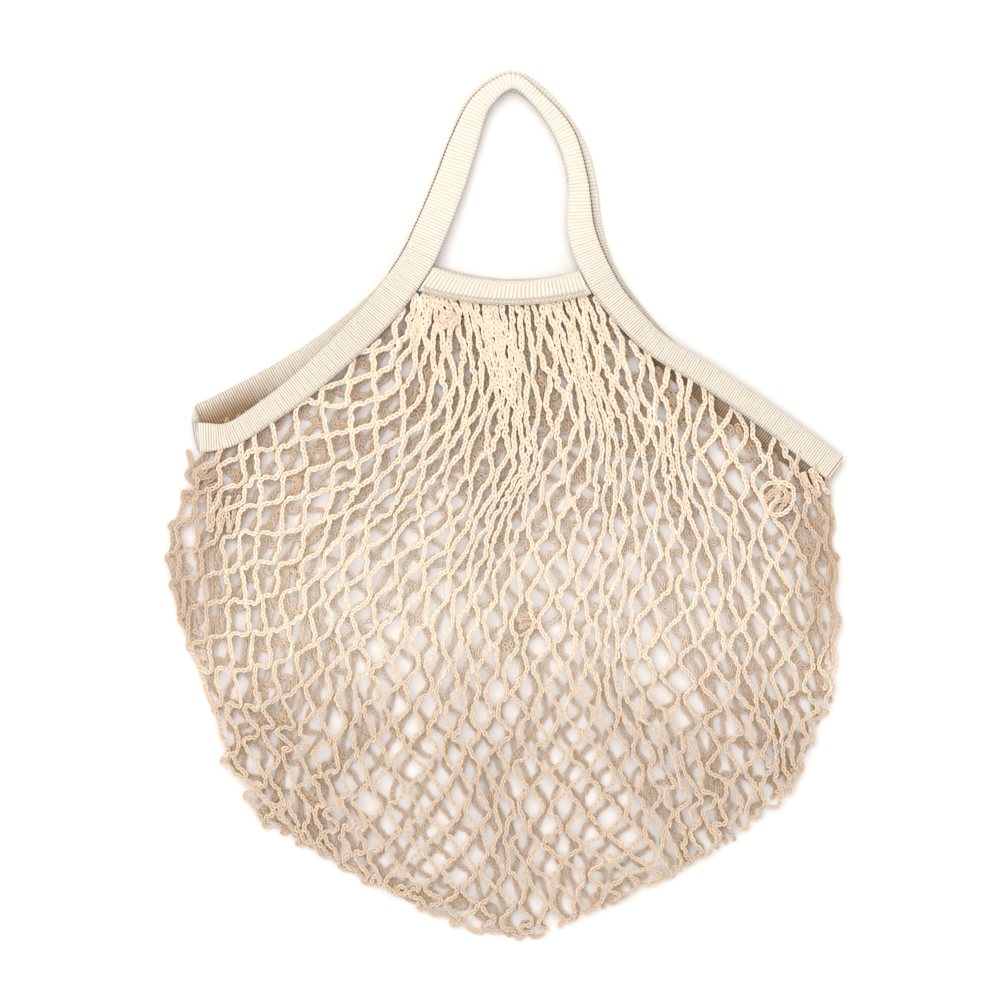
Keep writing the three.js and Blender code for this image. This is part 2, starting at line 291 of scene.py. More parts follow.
def chainStarts(side, rng):
    # every chain laid straight from knot to knot, as (chains, points, 2)
    field = netField(side)
    sway = np.stack([smoothNoise(rng, field.shape[:2]) for _ in range(2)], axis=-1)
    field = field + net["sway"][side] * np.minimum(1, np.arange(field.shape[1]) / 4)[None, :, None] * sway
    chains, rows, steps = net["chains"], net["rows"], net["stepsPerBar"]
    rowNumbers = np.arange(rows + 1)
    rowHere = np.arange(rows * steps + 1) / steps
    points = np.empty((chains, len(rowHere), 2))
    for chain in range(chains):
        passed = chain + (chain + rowNumbers) % 2
        below, above = np.minimum(rowNumbers + 1, rows), np.maximum(rowNumbers - 1, 0)
        down = unit(field[passed, below] - field[passed, above])
        toRight = np.where(passed == chain, 0.5, -0.5) * net["cordWidth"]
        knots = field[passed, rowNumbers] + np.stack([-down[:, 1], down[:, 0]], axis=1) * toRight[:, None]
        for axis in range(2):
            points[chain, :, axis] = np.interp(rowHere, rowNumbers, knots[:, axis])
    return points


def outlineOfNet():
    left, bottom, right = [smoothRoute(bag[part]) for part in ("leftCrease", "bottomFold", "rightCrease")]
    return atShares(np.vstack([left, bottom[1:-1], right[::-1]]), np.linspace(0, 1, 420))


def besideLine(points, line):
    # how far each point lies to the left of the nearest part of a line, and the way there
    flat = points.reshape(-1, 2)
    nearest = np.empty(len(flat), int)
    for part in np.array_split(np.arange(len(flat)), 12):
        nearest[part] = ((flat[part, None] - line[None]) ** 2).sum(axis=2).argmin(axis=1)
    nearest = np.clip(nearest, 1, len(line) - 2)
    along = unit(line[nearest + 1] - line[nearest - 1])
    leftwards = np.stack([-along[:, 1], along[:, 0]], axis=1)
    distance = ((flat - line[nearest]) * leftwards).sum(axis=1)
    return distance.reshape(points.shape[:-1]), leftwards.reshape(points.shape)


def netRules(onTop):
    # which points of the chains act on each other: two selections, shortest, longest, strength
    steps, cord = net["stepsPerBar"], net["cordWidth"]
    segment, anyLength = net["bar"] / steps, 99
    every = slice(None)
    rules = []
    for apart, shortest, longest, strength in (
            (1, segment * net["shortest"], segment, 1.0), (4, segment * 1.6, anyLength, 0.6)):
        a, b = (every, every, slice(0, -apart)), (every, every, slice(apart, None))
        rules.append((a, b, shortest, longest, strength))
    for shift in (0, 1):
        evenRows, oddRows = slice(shift, None, 2 * steps), slice(steps + shift, None, 2 * steps)
        rules += [
            ((every, slice(1, -1, 2), evenRows), (every, slice(2, None, 2), evenRows), cord, cord, 1.0),
            ((every, slice(0, -1, 2), oddRows), (every, slice(1, None, 2), oddRows), cord, cord, 1.0),
        ]
    for beside in (1, 2):
        for shift in range(-2, 3):
            here = slice(max(0, -shift), None if shift <= 0 else -shift)
            there = slice(max(0, shift), None if shift >= 0 else shift)
            a, b = (every, slice(0, -beside), here), (every, slice(beside, None), there)
            together = (np.abs(onTop[a] - onTop[b]) < 0.5)[..., None]
            rules.append((a, b, cord * 0.97, anyLength, 0.8 * together))
    return rules


def settleNet():
    # the chains keep their length, bend gently, hold together at the knots and lie beside one another
    rng = np.random.default_rng(net["seed"])
    target = np.stack([chainStarts(side, rng) for side in ("front", "back")])
    outline = outlineOfNet()
    mouths = [mouthEdge(side, np.linspace(0, 1, 160), net["mouthClear"]) for side in ("front", "back")]
    inside, inwards = besideLine(target, outline)
    creased = target[..., 1] < bag["creaseTop"]
    under = creased & (inside < 0)
    atBottom, atSides = net["turnedUnder"]
    reach = atBottom + (atSides - atBottom) * smoothStep(target[0, ..., 1], -120, -60)
    limit = np.stack([-reach, np.full(reach.shape, net["backInset"])])
    gone = np.maximum.accumulate(creased & (inside < limit), axis=2)
    target = np.where(under[..., None], target - 2 * inside[..., None] * inwards, target)
    onTop = np.stack([~under[0], np.zeros_like(under[1])]).astype(float)
    aboveMouth = np.stack([besideLine(target[layer], mouths[layer])[0] for layer in range(2)])
    hidden = (aboveMouth > -0.5) & (target[..., 1] > 0) | gone
    held = hidden.copy()
    held[:, :, 0] = True
    points = target + rng.normal(0, 0.7, target.shape) * ~held[..., None]
    knotRows = slice(0, None, net["stepsPerBar"])
    rules = netRules(onTop)
    for turn in range(net["rounds"]):
        move, count = np.zeros_like(points), np.zeros(points.shape[:-1] + (1,))
        for a, b, shortest, longest, strength in rules:
            gap = points[b] - points[a]
            length = np.sqrt((gap ** 2).sum(axis=-1, keepdims=True)) + 1e-6
            wrong = (length - np.clip(length, shortest, longest)) * strength
            step = gap / length * wrong / 2
            acting = wrong != 0
            move[a] += step
            move[b] -= step
            count[a] += acting
            count[b] += acting
        move = net["hurry"] * move / np.maximum(count, 1)
        move[:, :, knotRows] += net["guidePull"] * (target[:, :, knotRows] - points[:, :, knotRows])
        bend = points[:, :, 1:-3] - 2 * points[:, :, 2:-2] + points[:, :, 3:-1]
        turning = points[:, :, :-4] - 4 * points[:, :, 1:-3] + 6 * points[:, :, 2:-2] \
            - 4 * points[:, :, 3:-1] + points[:, :, 4:]
        move[:, :, 2:-2] += net["smoothing"] * bend - net["stiffness"] * turning / 6
        points += np.where(held[..., None], 0, move)
        if turn % 10 == 9:
            inside, inwards = besideLine(points, outline)
            movable = (points[..., 1] < bag["creaseTop"]) & ~held
            outside = np.where(movable, np.maximum(0, 0.6 - inside), 0)
            points += inwards * outside[..., None] * 0.8
    inside = besideLine(points, outline)[0]
    shown = ~gone & (aboveMouth < 0.5) & ~(held & (inside < 1))
    return points, onTop, inside, shown, held


def chainPaths():
    # the settled chains with their heights: the front layer over the back one, together at the outline
    points, onTop, inside, shown, held = settleNet()
    rng = np.random.default_rng(net["seed"] + 100)
    points = points + rng.normal(0, net["crinkle"], points.shape) * ~held[..., None]
    paths, isBack = [], []
    for layer in range(2):
        shape = points.shape[1:3]
        spread = 1 - (1 - np.clip(inside[layer] / bag["roundedWithin"], 0, 1)) ** 2
        calm = smoothStep(np.arange(shape[1]), 2, 15)
        front = bag["frontHeight"] + calm * (1.1 * smoothNoise(rng, shape, (2, 9))
                                             + 0.35 * smoothNoise(rng, shape, (20, 40)))
        front = bag["creaseHeight"] + (front - bag["creaseHeight"]) * spread
        back = bag["backHeight"] + calm * 0.5 * np.abs(smoothNoise(rng, shape, (3, 9)))
        if layer == 0:
            back = back + 1.6 * spread
        blend = onTop[layer]
        for _ in range(4):
            between = (blend[:, :-2] + blend[:, 1:-1] + blend[:, 2:]) / 3
            blend = np.hstack([blend[:, :1], between, blend[:, -1:]])
        height = np.clip(back + (front - back) * blend, bag["lowest"], bag["highest"])
        for chain in range(net["chains"]):
            seen = np.flatnonzero(shown[layer, chain])
            if len(seen) < 8:
                continue
            here = slice(seen[0], seen[-1] + 1)
            knots = np.column_stack([points[layer, chain, here], height[chain, here]])
            tucked = knots[0] + unit(knots[0] - knots[2]) * net["tuck"]
            paths.append(smoothRoute(np.vstack([tucked, knots]), 3))
            isBack.append(layer == 1)
    return paths, isBack


# Mesh and node helpers

def meshObject(name, vertices, faces=(), edges=(), attributes=None):
    mesh = bpy.data.meshes.new(name)
    mesh.from_pydata((np.asarray(vertices) + planShift) * mm, edges, faces)
    for key, values in (attributes or {}).items():
        layer = mesh.attributes.new(key, "FLOAT", "POINT")
        layer.data.foreach_set("value", np.asarray(values, dtype=np.float32).ravel())
    mesh.update()
    piece = bpy.data.objects.new(name, mesh)
    bpy.context.scene.collection.objects.link(piece)
    return piece


def newNodeGroup(name, inputs):
    # inputs: name, socket type, default
    tree = bpy.data.node_groups.new(name, "GeometryNodeTree")
    tree.interface.new_socket("Geometry", in_out="INPUT", socket_type="NodeSocketGeometry")
    for label, kind, default in inputs:
        socket = tree.interface.new_socket(label, in_out="INPUT", socket_type="NodeSocket" + kind)
        if default is not None:
            socket.default_value = default
    tree.interface.new_socket("Geometry", in_out="OUTPUT", socket_type="NodeSocketGeometry")
    return tree, tree.nodes.new("NodeGroupInput"), tree.nodes.new("NodeGroupOutput")


def addNode(tree, kind, links=None, **settings):
    # links: input name or number to a socket or a plain value
    node = tree.nodes.new(kind)
    for key, value in settings.items():
        setattr(node, key, value)
    for key, value in (links or {}).items():
        if isinstance(value, bpy.types.NodeSocket):
            tree.links.new(value, node.inputs[key])
        else:
            node.inputs[key].default_value = value
    return node


def mathNode(tree, operation, *values):
    return addNode(tree, "ShaderNodeMath", dict(enumerate(values)), operation=operation).outputs[0]


def storedValue(tree, name):
    return addNode(tree, "GeometryNodeInputNamedAttribute", {"Name": name}, data_type="FLOAT").outputs[0]


def runNodes(source, tree, values, name):
    # the tree's result on the source becomes a plain mesh piece, and the source goes
    modifier = source.modifiers.new(tree.name, "NODES")
    modifier.node_group = tree
    for item in tree.interface.items_tree:
        if item.item_type == "SOCKET" and item.in_out == "INPUT" and item.name in values:
            modifier[item.identifier] = values[item.name]
    evaluated = source.evaluated_get(bpy.context.evaluated_depsgraph_get())
    mesh = bpy.data.meshes.new_from_object(evaluated)
    mesh.name = name
    mesh.shade_smooth()
    bpy.data.objects.remove(source)
    piece = bpy.data.objects.new(name, mesh)
    bpy.context.scene.collection.objects.link(piece)
    return piece


# Materials

cottonColours = {
    # light and warm patches of the yarn, and the colour of the painted shade in its hollows
    "net": ((1.0, 0.95, 0.86, 1), (0.99, 0.915, 0.80, 1), (0.50, 0.36, 0.235, 1)),
    "band": ((0.672, 0.634, 0.568, 1), (0.642, 0.597, 0.52, 1), (0.31, 0.225, 0.145, 1)),
    "seam": ((0.672, 0.634, 0.568, 1), (0.642, 0.597, 0.52, 1), (0.34, 0.255, 0.17, 1)),
    # near-black thread for the stitches between the handle straps, painted shadow of the crease they lie in
    "dark": ((0.30, 0.20, 0.125, 1), (0.25, 0.16, 0.10, 1), (0.12, 0.075, 0.045, 1)),
}
deepShade = (0.48, 0.32, 0.195, 1)  # multiplied in, so the knit still shows


def cottonMaterial(name, colours, fuzzScale, fuzzDepth, knitBump=None):
    material = bpy.data.materials.new(name)
    material.use_nodes = True
    tree = material.node_tree
    tree.nodes.clear()
    output = tree.nodes.new("ShaderNodeOutputMaterial")
    shader = addNode(tree, "ShaderNodeBsdfPrincipled", {
        "Roughness": 0.92, "Specular IOR Level": 0.18, "Sheen Weight": 0.25, "Sheen Roughness": 0.5,
        "Sheen Tint": (1.0, 0.95, 0.88, 1),
    })
    place = tree.nodes.new("ShaderNodeTexCoord").outputs["Object"]
    patches = addNode(tree, "ShaderNodeTexNoise", {"Vector": place, "Scale": 55.0, "Detail": 3.0})
    fibres = addNode(tree, "ShaderNodeTexNoise", {"Vector": place, "Scale": fuzzScale, "Detail": 4.0})
    blend = mathNode(tree, "MULTIPLY_ADD", fibres.outputs["Fac"], 0.6, -0.1)
    blend = mathNode(tree, "MULTIPLY_ADD", patches.outputs["Fac"], 0.7, blend)
    light, warm, pit = colours
    colour = addNode(tree, "ShaderNodeMix", {0: blend, 6: light, 7: warm}, data_type="RGBA")
    # painted shade: the colour is darkened towards the hollows' colour where the pit value is high, and
    # multiplied by the shade colour where the shade value is high
    depth = addNode(tree, "ShaderNodeAttribute", attribute_name="pit").outputs["Fac"]
    sunken = addNode(tree, "ShaderNodeMix", {0: depth, 6: colour.outputs[2], 7: pit}, data_type="RGBA")
    shade = addNode(tree, "ShaderNodeAttribute", attribute_name="shade").outputs["Fac"]
    shaded = addNode(tree, "ShaderNodeMix", {
        0: shade, 6: sunken.outputs[2], 7: deepShade,
    }, data_type="RGBA", blend_type="MULTIPLY")
    tree.links.new(shaded.outputs[2], shader.inputs["Base Color"])
    bump = addNode(tree, "ShaderNodeBump", {
        "Height": fibres.outputs["Fac"], "Distance": fuzzDepth, "Strength": 0.6,
    })
    normal = bump.outputs["Normal"]
    if knitBump:
        normal = knitBump(tree, normal)
    tree.links.new(normal, shader.inputs["Normal"])
    tree.links.new(shader.outputs[0], output.inputs["Surface"])
    return material


def chevronBump(tree, normal):
    # small slanted stitches along each rib, from the distances along and round the band
    along = addNode(tree, "ShaderNodeAttribute", attribute_name="along").outputs["Fac"]
    around = addNode(tree, "ShaderNodeAttribute", attribute_name="around").outputs["Fac"]
    rib = mathNode(tree, "FRACT", mathNode(tree, "DIVIDE", along, band["ribPitch"]))
    lean = mathNode(tree, "ABSOLUTE", mathNode(tree, "SUBTRACT", rib, 0.5))
    phase = mathNode(tree, "MULTIPLY_ADD", lean, 1.3, mathNode(tree, "DIVIDE", around, 1.25))
    wave = mathNode(tree, "SINE", mathNode(tree, "MULTIPLY", phase, tau))
    return addNode(tree, "ShaderNodeBump", {
        "Height": wave, "Distance": 0.00016, "Strength": 0.8, "Normal": normal,
    }).outputs["Normal"]


netCotton = cottonMaterial("netCotton", cottonColours["net"], 2600.0, 0.00025)
bandCotton = cottonMaterial("bandCotton", cottonColours["band"], 2200.0, 0.00015, chevronBump)
seamCotton = cottonMaterial("seamCotton", cottonColours["seam"], 2600.0, 0.0002)
seamWithCreaseShadow = cottonMaterial("seamWithCreaseShadow", cottonColours["dark"], 2600.0, 0.0002)
print("materials ready")


# Knitted cord: loops of yarn drawn through one another along a path

stitch = {
    "pitch": 2.9,
    "length": 3.9,
    "width": 2.45,
    "yarn": 0.66,              # half its thickness
    "tilt": 0.55,              # how far the head of a loop rises over its tail
    "twist": 0.3,
    "unevenness": 0.15,
    "loopSteps": 8,
    "mouthSize": 1.18,         # the cords are fullest where they are gathered
    "lowSize": 0.94,
}


def stitchLoop(name, size, sides):
    # one loop of yarn along X, wide at the head and narrow at the tail, lying in XY with its face to Z
    steps = size["loopSteps"]
    turn = np.arange(steps) * tau / steps
    head = np.cos(turn)
    sideways = np.sin(turn) * size["width"] / 2 * (0.72 + 0.28 * head)
    centre = np.stack([head * size["length"] / 2, sideways, head * size["tilt"]], axis=1)
    along = unit(np.roll(centre, -1, 0) - np.roll(centre, 1, 0))
    outward = unit(np.cross(along, (0, 0, 1)))
    lift = np.cross(outward, along)
    vertices, pit = [], []
    for k in range(sides):
        angle = tau * (k + 0.5) / sides
        vertices.append(centre + size["yarn"] * (outward * math.cos(angle) + lift * math.sin(angle)))
        # painted shade: the yarn is darkest underneath and at the tail, where the next loop covers it
        pit.append(np.clip(0.14 - 0.6 * math.sin(angle) + 0.1 * math.cos(angle) - 0.2 * head, 0, 1))
    vertices = np.stack(vertices, axis=1).reshape(-1, 3) - planShift
    faces = []
    for ring in range(steps):
        after = (ring + 1) % steps
        for k in range(sides):
            beside = (k + 1) % sides
            faces.append((ring * sides + k, after * sides + k, after * sides + beside, ring * sides + beside))
    return meshObject(name, vertices, faces, attributes={"pit": np.stack(pit, axis=1).ravel()})


def knittedCordTree():
    tree, given, result = newNodeGroup("knittedCord", [
        ("Stitch", "Object", None), ("Pitch", "Float", 0.003), ("Unevenness", "Float", 0.1),
        ("Twist", "Float", 0.3), ("Seed", "Int", 1), ("Material", "Material", None),
    ])
    curve = addNode(tree, "GeometryNodeMeshToCurve", {"Mesh": given.outputs["Geometry"]})
    spaced = addNode(tree, "GeometryNodeResampleCurve", {
        "Curve": curve.outputs[0], "Length": given.outputs["Pitch"],
    }, mode="LENGTH")
    upright = addNode(tree, "GeometryNodeSetCurveNormal", {"Curve": spaced.outputs[0]}, mode="Z_UP")
    twist = addNode(tree, "FunctionNodeRandomValue", {
        2: mathNode(tree, "MULTIPLY", given.outputs["Twist"], -1.0), 3: given.outputs["Twist"],
        "Seed": mathNode(tree, "ADD", given.outputs["Seed"], 500.0),
    }, data_type="FLOAT")
    tilt = mathNode(tree, "ADD", storedValue(tree, "roll"), twist.outputs[1])
    rolled = addNode(tree, "GeometryNodeSetCurveTilt", {"Curve": upright.outputs[0], "Tilt": tilt})
    facing = addNode(tree, "FunctionNodeAxesToRotation", {
        "Primary Axis": addNode(tree, "GeometryNodeInputTangent").outputs[0],
        "Secondary Axis": addNode(tree, "GeometryNodeInputNormal").outputs[0],
    }, primary_axis="X", secondary_axis="Y")
    loop = addNode(tree, "GeometryNodeObjectInfo", {"Object": given.outputs["Stitch"]})
    low = mathNode(tree, "SUBTRACT", 1.0, given.outputs["Unevenness"])
    high = mathNode(tree, "ADD", 1.0, given.outputs["Unevenness"])
    size = addNode(tree, "FunctionNodeRandomValue", {
        2: low, 3: high, "Seed": given.outputs["Seed"],
    }, data_type="FLOAT")
    loops = addNode(tree, "GeometryNodeInstanceOnPoints", {
        "Points": rolled.outputs[0], "Instance": loop.outputs["Geometry"],
        "Rotation": facing.outputs[0],
        "Scale": mathNode(tree, "MULTIPLY", size.outputs[1], storedValue(tree, "fullness")),
    })
    real = addNode(tree, "GeometryNodeRealizeInstances", {"Geometry": loops.outputs[0]})
    painted = addNode(tree, "GeometryNodeSetMaterial", {
        "Geometry": real.outputs[0], "Material": given.outputs["Material"],
    })
    tree.links.new(painted.outputs[0], result.inputs["Geometry"])
    return tree


cordTree = knittedCordTree()
frontLoop = stitchLoop("frontLoop", stitch, 5)
backLoop = stitchLoop("backLoop", stitch, 4)


def layerShade(path, isBack):
    # painted shade: the back layer is darker where it is seen deep inside the bag, the front one a little at
    # the creases, and both towards the bottom
    x, y = path[:, 0], path[:, 1]
    low = 0.34 * smoothStep(-y, 55, 140)
    if isBack:
        crease = 0.2 * smoothStep(x, 110, 170) + 0.16 * smoothStep(-x, 120, 170)
        return 0.19 + 0.32 * smoothStep(y, -90, 60) + crease + low
    crease = 0.5 * smoothStep(x, 150, 184) + 0.48 * smoothStep(-x, 148, 180)
    return low + crease * smoothStep(y, -95, -60)


def cordPiece(name, paths, loop, size, seed, material, rollReach=0.2, shades=None):
    # one piece of knitted cord along several paths
    rng = np.random.default_rng(seed)
    vertices, edges, roll, fullness = [], [], [], []
    shades = shades or [np.zeros(len(path)) for path in paths]
    for path in paths:
        first = len(vertices)
        vertices += path.tolist()
        edges += [(first + k, first + k + 1) for k in range(len(path) - 1)]
        t = np.arange(len(path))
        wander = sum(np.sin(t * rng.uniform(0.03, 0.16) + rng.uniform(0, tau)) for _ in range(3))
        roll.append(rollReach * wander)
        gathered = smoothStep(path[:, 1], -20, 90)
        fullness.append(stitch["lowSize"] + (stitch["mouthSize"] - stitch["lowSize"]) * gathered)
    source = meshObject(name + "Path", vertices, edges=edges, attributes={
        "roll": np.concatenate(roll), "fullness": np.concatenate(fullness), "shade": np.concatenate(shades),
    })
    return runNodes(source, cordTree, {
        "Stitch": loop, "Pitch": size["pitch"] * mm, "Unevenness": size["unevenness"], "Twist": size["twist"],
        "Seed": seed, "Material": material,
    }, name)


pieces = []
paths, isBack = chainPaths()
bunches = 8                    # strips of the net, so that no mesh grows too heavy
for part, bunch in enumerate(np.array_split(np.arange(len(paths)), bunches)):
    loop = frontLoop if part < bunches // 2 + 1 else backLoop
    name = "net" + "ABCDEFGH"[part]
    shades = [layerShade(paths[chain], isBack[chain]) for chain in bunch]
    strands = [paths[chain] for chain in bunch]
    piece = cordPiece(name, strands, loop, stitch, 40 + part, netCotton, shades=shades)
    pieces.append((piece, "net", "net_cotton"))
    print(name, len(piece.data.polygons), "faces")


# Small places where the knitting lies snarled: a cord to and fro, or round in a ring

# each snarl's shade value is painted shade on its cord
snarls = [
    {"place": (-31, 107), "width": 8, "height": 10, "strokes": 5, "lean": 0.7, "level": 12.2, "shade": 0.12},
    {"place": (14, -65), "width": 11, "height": 12, "strokes": 5, "lean": 0.3, "level": 7.6, "shade": 0.4},
    {"place": (2, 8), "width": 12, "height": 11, "strokes": 4, "lean": -0.4, "level": 6.6, "shade": 0.45},
    {"place": (156, 6), "width": 15, "height": 13, "strokes": 5, "lean": 0.75, "level": 7.0, "shade": 0.4},
    {"place": (176, 14), "width": 15, "height": 12, "strokes": 4, "lean": -1.2, "level": 7.8, "shade": 0.2},
    {"place": (-161, -3), "width": 20, "height": 17, "strokes": 6, "lean": 1.45, "level": 8.0, "shade": 0.3},
    {"place": (-169, 15), "width": 14, "height": 15, "strokes": 5, "lean": 0.5, "level": 6.0, "shade": 0.6},
]
ring = {"place": (156, 6), "radius": 9.4, "level": 8.6}


def snarlPath(snarl, rng):
    t = np.linspace(0, snarl["strokes"], snarl["strokes"] * 7)
    sideways = snarl["width"] / 2 * np.cos(math.pi * t) + rng.normal(0, 0.45, len(t))
    downwards = snarl["height"] * (t / snarl["strokes"] - 0.5) + rng.normal(0, 0.45, len(t))
    lean = snarl["lean"]
    x = snarl["place"][0] + sideways * math.cos(lean) + downwards * math.sin(lean)
    y = snarl["place"][1] + sideways * math.sin(lean) - downwards * math.cos(lean)
    return smoothRoute(np.column_stack([x, y, snarl["level"] + 0.8 * np.sin(1.7 * t)]), 3)


def ringPath(rng):
    turn = np.linspace(0.2, tau - 0.1, 36)
    reach = ring["radius"] * (1 + 0.06 * np.sin(3 * turn) + rng.normal(0, 0.02, len(turn)))
    x, y = ring["place"]
    return np.column_stack([x + reach * np.cos(turn), y + reach * np.sin(turn), ring["level"] + 0 * turn])


def makeSnarls():
    rng = np.random.default_rng(net["seed"] + 7)
    paths = [snarlPath(snarl, rng) for snarl in snarls] + [ringPath(rng)]
    # painted shade of each snarl's cord, and a little for the ring
    snarlShades = [snarl["shade"] for snarl in snarls] + [0.05]
    shades = [np.full(len(path), level) for path, level in zip(paths, snarlShades)]
    return cordPiece("netSnarls", paths, frontLoop, stitch, 71, netCotton, shades=shades)


pieces.append((makeSnarls(), "net", "net_cotton"))


# Band and rims: flattened knitted tubes with ribs across them

def bandSection():
    # the flattened round of the band, as shares of half its width and half its thickness
    angle = (np.arange(band["roundPoints"]) + 0.5) * tau / band["roundPoints"]
    corner = 2 / band["squareness"]
    sideways = np.sign(np.cos(angle)) * np.abs(np.cos(angle)) ** corner
    upwards = np.sign(np.sin(angle)) * np.abs(np.sin(angle)) ** corner
    return sideways, upwards


def flatTube(name, stations, isLoop):
    # stations: centre, across, normal (n, 3), width, thickness, along, groove strength (n: how deep the
    # grooves sink and how much painted shade they get), shade (n, round the tube: painted shade)
    sideways, upwards = bandSection()
    roundPoints = band["roundPoints"]
    centre, across, normal = stations["centre"], stations["across"], stations["normal"]
    width, thickness = stations["width"][:, None, None], stations["thickness"][:, None, None]
    rings = (centre[:, None] + across[:, None] * width / 2 * sideways[None, :, None]
             + normal[:, None] * thickness / 2 * upwards[None, :, None])
    steps = np.linalg.norm(np.roll(rings, -1, 1) - rings, axis=2)
    around = np.cumsum(steps, axis=1) - steps
    along = np.repeat(stations["along"][:, None], roundPoints, axis=1)
    across01 = np.repeat(sideways[None], len(centre), axis=0)
    count = len(centre)
    faces = []
    for ring in range(count if isLoop else count - 1):
        after = (ring + 1) % count
        for k in range(roundPoints):
            beside = (k + 1) % roundPoints
            faces.append((ring * roundPoints + k, after * roundPoints + k,
                          after * roundPoints + beside, ring * roundPoints + beside))
    if not isLoop:
        faces.append(tuple(range(roundPoints)))
        faces.append(tuple(count * roundPoints - 1 - k for k in range(roundPoints)))
    return meshObject(name, rings.reshape(-1, 3), faces, attributes={
        "along": along.ravel(), "around": around.ravel(), "sideways": across01.ravel(),
        "shade": stations["shade"].ravel(), "stain": np.repeat(stations["stain"], roundPoints),
    })


def ribKnitTree():
    # sinks the grooves between the ribs, and keeps their depth for the material as painted shade in the
    # grooves
    tree, given, result = newNodeGroup("ribKnit", [
        ("Rib Pitch", "Float", 1.7), ("Rib Depth", "Float", 0.0003), ("Slant", "Float", 0.0),
        ("Unevenness", "Float", 0.12), ("Material", "Material", None),
    ])
    place = addNode(tree, "GeometryNodeInputPosition").outputs[0]
    drift = addNode(tree, "ShaderNodeTexNoise", {"Vector": place, "Scale": 160.0, "Detail": 1.0})
    sideways, along = storedValue(tree, "sideways"), storedValue(tree, "along")
    leaning = mathNode(tree, "MULTIPLY_ADD", sideways, given.outputs["Slant"], along)
    ribs = mathNode(tree, "MULTIPLY_ADD", drift.outputs["Fac"], given.outputs["Unevenness"],
                    mathNode(tree, "DIVIDE", leaning, given.outputs["Rib Pitch"]))
    wave = mathNode(tree, "ABSOLUTE", mathNode(tree, "SINE", mathNode(tree, "MULTIPLY", ribs, math.pi)))
    groove = mathNode(tree, "POWER", mathNode(tree, "SUBTRACT", 1.0, wave), 1.6)
    strength = storedValue(tree, "stain")
    sunk = mathNode(tree, "MULTIPLY_ADD", strength, -0.6, -0.4)
    depth = mathNode(tree, "MULTIPLY", groove, mathNode(tree, "MULTIPLY", given.outputs["Rib Depth"], sunk))
    normal = addNode(tree, "GeometryNodeInputNormal").outputs[0]
    offset = addNode(tree, "ShaderNodeVectorMath", {0: normal, "Scale": depth}, operation="SCALE")
    specks = addNode(tree, "ShaderNodeTexNoise", {"Vector": place, "Scale": 900.0, "Detail": 2.0})
    speckled = mathNode(tree, "MULTIPLY_ADD", specks.outputs["Fac"], 1.5, 0.1)
    # painted shade in the grooves, speckled, stored as the pit value
    stain = mathNode(tree, "MULTIPLY", mathNode(tree, "MULTIPLY", groove, speckled), strength)
    kept = addNode(tree, "GeometryNodeStoreNamedAttribute", {
        "Geometry": given.outputs["Geometry"], "Name": "pit", "Value": stain,
    }, data_type="FLOAT", domain="POINT")
    moved = addNode(tree, "GeometryNodeSetPosition", {
        "Geometry": kept.outputs[0], "Offset": offset.outputs[0],
    })
    painted = addNode(tree, "GeometryNodeSetMaterial", {
        "Geometry": moved.outputs[0], "Material": given.outputs["Material"],
    })
    tree.links.new(painted.outputs[0], result.inputs["Geometry"])
    return tree


ribTree = ribKnitTree()


def bandLift(x, y):
    onHandle = smoothStep(y, *band["handleLevel"])
    lift = band["frontLift"] + (band["handleLift"] - band["frontLift"]) * onHandle
    fromCorner = np.minimum(x - band["front"][0][0], band["front"][-1][0] - x)
    return band["cornerLift"] + (lift - band["cornerLift"]) * smoothStep(fromCorner, 0, band["cornerReach"])


def layerStations(side):
    route = bandRoutes[side]
    length = np.linalg.norm(np.diff(route[:, :2], axis=0), axis=1).sum()
    shares = np.linspace(0, 1, int(length / band["stationStep"]) + 1)
    middle, width, across = bandPlaces(side, shares)
    thickness = band["section"] / width
    lift = bandLift(middle[:, 0], middle[:, 1]) if side == "front" else 0 * width
    up = 1 if side == "front" else -1
    return {
        "centre": np.column_stack([middle, lift + thickness / 2]),
        "across": np.column_stack([across, 0 * width]),
        "normal": np.tile((0.0, 0.0, up), (len(width), 1)),
        "width": width, "thickness": thickness,
    }


def foldStations(fromEnd, toEnd, outward):
    # half a turn from the end of one layer to the start of the other
    t = (np.arange(1, band["foldSteps"]) / band["foldSteps"])[:, None]
    turn = math.pi * t
    middleHeight = (fromEnd["centre"][2] + toEnd["centre"][2]) / 2
    rise = (fromEnd["centre"][2] - toEnd["centre"][2]) / 2
    eased = t * t * (3 - 2 * t)
    across = unit(fromEnd["across"] * (1 - eased) + toEnd["across"] * eased)
    away = outward * np.hstack([-across[:, 1:2], across[:, :1], 0 * t])
    centre = fromEnd["centre"] * (1 - eased) + toEnd["centre"] * eased
    centre[:, 2:] = middleHeight + rise * np.cos(turn)
    centre += away * abs(rise) * band["foldReach"] * np.sin(turn)
    normal = away * np.sin(turn) + (0, 0, 1) * np.cos(turn) * fromEnd["normal"][2]
    width = fromEnd["width"] * (1 - eased) + toEnd["width"] * eased - band["foldNarrowing"] * np.sin(turn)
    thickness = fromEnd["thickness"] * (1 - eased) + toEnd["thickness"] * eased
    return {"centre": centre, "across": across, "normal": normal, "width": width[:, 0],
            "thickness": thickness[:, 0]}


